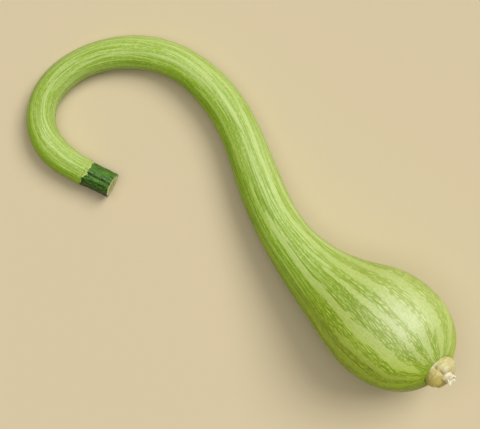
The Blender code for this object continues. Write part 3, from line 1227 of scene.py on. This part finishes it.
# %% [markdown]
# ## Cork
# Dry cork is straw coloured with broad pale blotches, brown fibres that run up from the
# foot, and a fine grain over all. The crease numbers kept on the mesh darken the same
# places that are pushed in, so colour and shape agree: browner cork and painted shade.
# Thin brown fold lines come from one noise: where it passes through its middle value it
# draws a wandering line, and they are painted only on the side away from the window as
# painted shade. That side is painted darker, and the side that faces the window a little
# whiter: painted shade and light.

# %% Cork colours
BLOTCHES_PER_MM = 0.16

paint = Paint("corky button")
round_x, round_y = paint.number("round_x"), paint.number("round_y")
along = paint.number("along")
knob_x, knob_y = round_x * BUTTON_TURN, round_y * BUTTON_TURN
cork_place = paint.place(knob_x, knob_y, along * 1.2)
blotch = paint.clouds(cork_place, BLOTCHES_PER_MM, 3.0, 0.6)
cork_grain = paint.clouds(cork_place, 0.9, 4.0, 0.6)
fibre = paint.clouds(paint.place(knob_x, knob_y, along / 4), 1.0, 3.0, 0.6)
# The side that faces the window is painted a little whiter and with fewer brown fibres:
# painted light.
cork_painted_light = round_y.between(-0.5, 0.6)
cork = paint.mixed(cork_painted_light, colour(222, 212, 140), colour(223, 214, 154))
cork = paint.mixed(blotch.between(0.4, 0.65) * 0.6, cork, colour(226, 218, 172))
brown_fibre = fibre.between(0.46, 0.62) * (1 - 0.55 * cork_painted_light)
brown_blotch = (1 - blotch).between(0.5, 0.68) * 0.7
stain = brown_fibre.most(brown_blotch)
cork = paint.mixed(stain * 0.38, cork, colour(194, 162, 88))
cork = paint.mixed(cork_grain.between(0.56, 0.74) * 0.4, cork, colour(238, 230, 196))
print(f"cork blotches about {1 / BLOTCHES_PER_MM:.1f} mm across")

# %% Scars, creases and folds
torn_skin = round_x.between(0.955, 0.99) * along.between(2.0, 3.2)
torn_skin = torn_skin * (1 - along.between(6.0, 8.0)) * blotch.between(0.3, 0.55)
scar = (torn_skin * 0.8).most(paint.number("hump") * 0.6)
cork = paint.mixed(scar, cork, colour(238, 230, 198))
# The creases are painted browner and darker: brown cork and painted shade.
crease_brown_and_shade = paint.number("crease").between(0.5, 1.3) * fibre.between(0.35, 0.6)
cork = paint.mixed(crease_brown_and_shade * 0.8, cork, colour(172, 128, 68))
# The side away from the window is painted darker and yellower: painted shade.
cork_painted_shade = (0 - round_y).between(-0.1, 0.8)
cork = paint.mixed(cork_painted_shade, cork, colour(250, 246, 204), "MULTIPLY")
folds = paint.clouds(paint.place(knob_x, knob_y, along * 2.2), 0.22)
fold_line = 1 - abs(folds - 0.5).between(0.0, 0.022)
# Fold lines are painted dark only on the side away from the window: folds with painted
# shade in them.
painted_fold_shade = fold_line * (0 - round_y).between(-0.2, 0.6)
cork = paint.mixed(painted_fold_shade * 0.55, cork, colour(160, 118, 52))
button.data.materials.append(
    paint.finish(
        Base_Color=cork,
        Roughness=0.65,
        Normal=paint.bumped(cork_grain + 0.8 * fibre - 0.8 * fold_line, 0.35, 0.8),
        Specular_IOR_Level=0.35,
        Subsurface_Weight=0.08,
        Subsurface_Radius=(1.0, 0.7, 0.3),
        Subsurface_Scale=2 * MM,
    )
)
print("cork:", len(paint.tree.nodes), "nodes")

# %% [markdown]
# ## The flower's stub
# The last of the flower is a shallow papery cup, torn all the way round, that stands a
# little to one side. Cloth could be used for thin paper, but the cup is stiff and no
# bigger than a fingertip, so rings are enough: the outline turns over the rim and back
# down inside, waves round the rim make the torn teeth, and a noise crumples the wall.

# %% Stub shape
STUB_SIDES = 120
STUB_RINGS = 60
STUB_OUTLINE_MM = [
    (532.0, 4.3), (532.7, 4.5), (534.6, 4.1), (536.6, 4.0), (538.3, 4.0), (538.4, 3.4),
    (537.7, 2.5), (537.2, 1.2),
]
STUB_TEETH = 5
STUB_TOOTH_MM = 0.8
STUB_LEAN_MM = (0.7, 1.2)  # to one side at the foot and near the rim
STUB_LEAN_AT = (532.0, 537.0)

stub_distance, stub_radius, stub_along = smooth_outline(STUB_OUTLINE_MM, STUB_RINGS)
stub_angle = round_angles(STUB_SIDES)
print(f"stub {np.ptp(stub_distance):.1f} mm tall")

# %% Torn rim
CRUMPLE_SIZE_MM, FINE_CRUMPLE_SIZE_MM = 2.6, 0.9

torn = smooth_step(stub_distance, 534.8, 537.2) * smooth_step(stub_radius, 2.0, 4.0)
tear = np.sin(STUB_TEETH * stub_angle) + 0.45 * np.sin(17 * stub_angle + 1.0)
flat_stub = wound(4.5, stub_angle, stub_along)
crumple = 0.38 * rough(flat_stub, CRUMPLE_SIZE_MM)
crumple = crumple + 0.06 * rough(flat_stub, FINE_CRUMPLE_SIZE_MM, 2.0)
stub_reach = stub_radius + crumple
stub_up = stub_distance + STUB_TOOTH_MM * torn * tear + 0.25 * crumple
to_one_side = on_axis(534.0, math.pi / 2, 1.0) - on_axis(534.0, 0.0, 0.0)
lean = np.interp(stub_distance, STUB_LEAN_AT, STUB_LEAN_MM)
stub_rings = on_axis(stub_up, stub_angle, stub_reach) + lean[..., None] * to_one_side
stub = ringed_piece(
    "flower_stub_paper",
    stub_rings,
    numbers={**way_round(stub_angle), "along": stub_along},
)

# %% [markdown]
# ## Dry paper
# The dried petals are cream with slightly browner veins along them. A little light
# passes through such thin walls. They are modelled as a solid rim, so a scatter of
# light under the surface stands for that, which is simpler than two thin sheets.

# %% Stub paper
paint = Paint("dry flower")
round_x, round_y = paint.number("round_x"), paint.number("round_y")
dry_place = paint.place(round_x * 5, round_y * 5, paint.number("along") / 3)
dry_veins = paint.clouds(dry_place, 1.6, 4.0, 0.6)
vein_mask = dry_veins.between(0.4, 0.65)
paper = paint.mixed(vein_mask, colour(224, 216, 176), colour(248, 243, 220))
stub.data.materials.append(
    paint.finish(
        Base_Color=paper,
        Roughness=0.8,
        Normal=paint.bumped(dry_veins, 0.2, 0.5),
        Subsurface_Weight=0.3,
        Subsurface_Radius=(1.0, 0.9, 0.7),
        Subsurface_Scale=3 * MM,
    )
)
print("paper:", len(paint.tree.nodes), "nodes")

# %% [markdown]
# ## Putting the pieces in place
# Each fine piece stands for the solid of the same part and moves with the squash's
# one body. The solids stay in the physics model for contact, and are only hidden from
# view.

# %% Ride and replace
for piece, node, finish in (
    (fruit, "fruit", "skin"),
    (stem, "stem", "stem"),
    (button, "blossom_button", "cork"),
    (stub, "flower_stub", "dry_flower"),
):
    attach(piece, "root")
    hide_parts(node)
    print(piece.name, "stands for", node)

# %% [markdown]
# ## Sizes
# The fine pieces may not outgrow the solids by more than a hair, or the squash would
# lie differently on a table than it looks. Both boxes are kept, to compare them.

# %% Sizes
fine_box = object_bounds()
plain = [
    [[float(v) for v in corner] for corner in box] for box in (solid_box, fine_box)
]
for end, solid_corner, fine_corner in zip(("low", "high"), *plain):
    growth = [round((f - s) / MM, 2) for s, f in zip(solid_corner, fine_corner)]
    print(end, "corner moved by", growth, "mm")
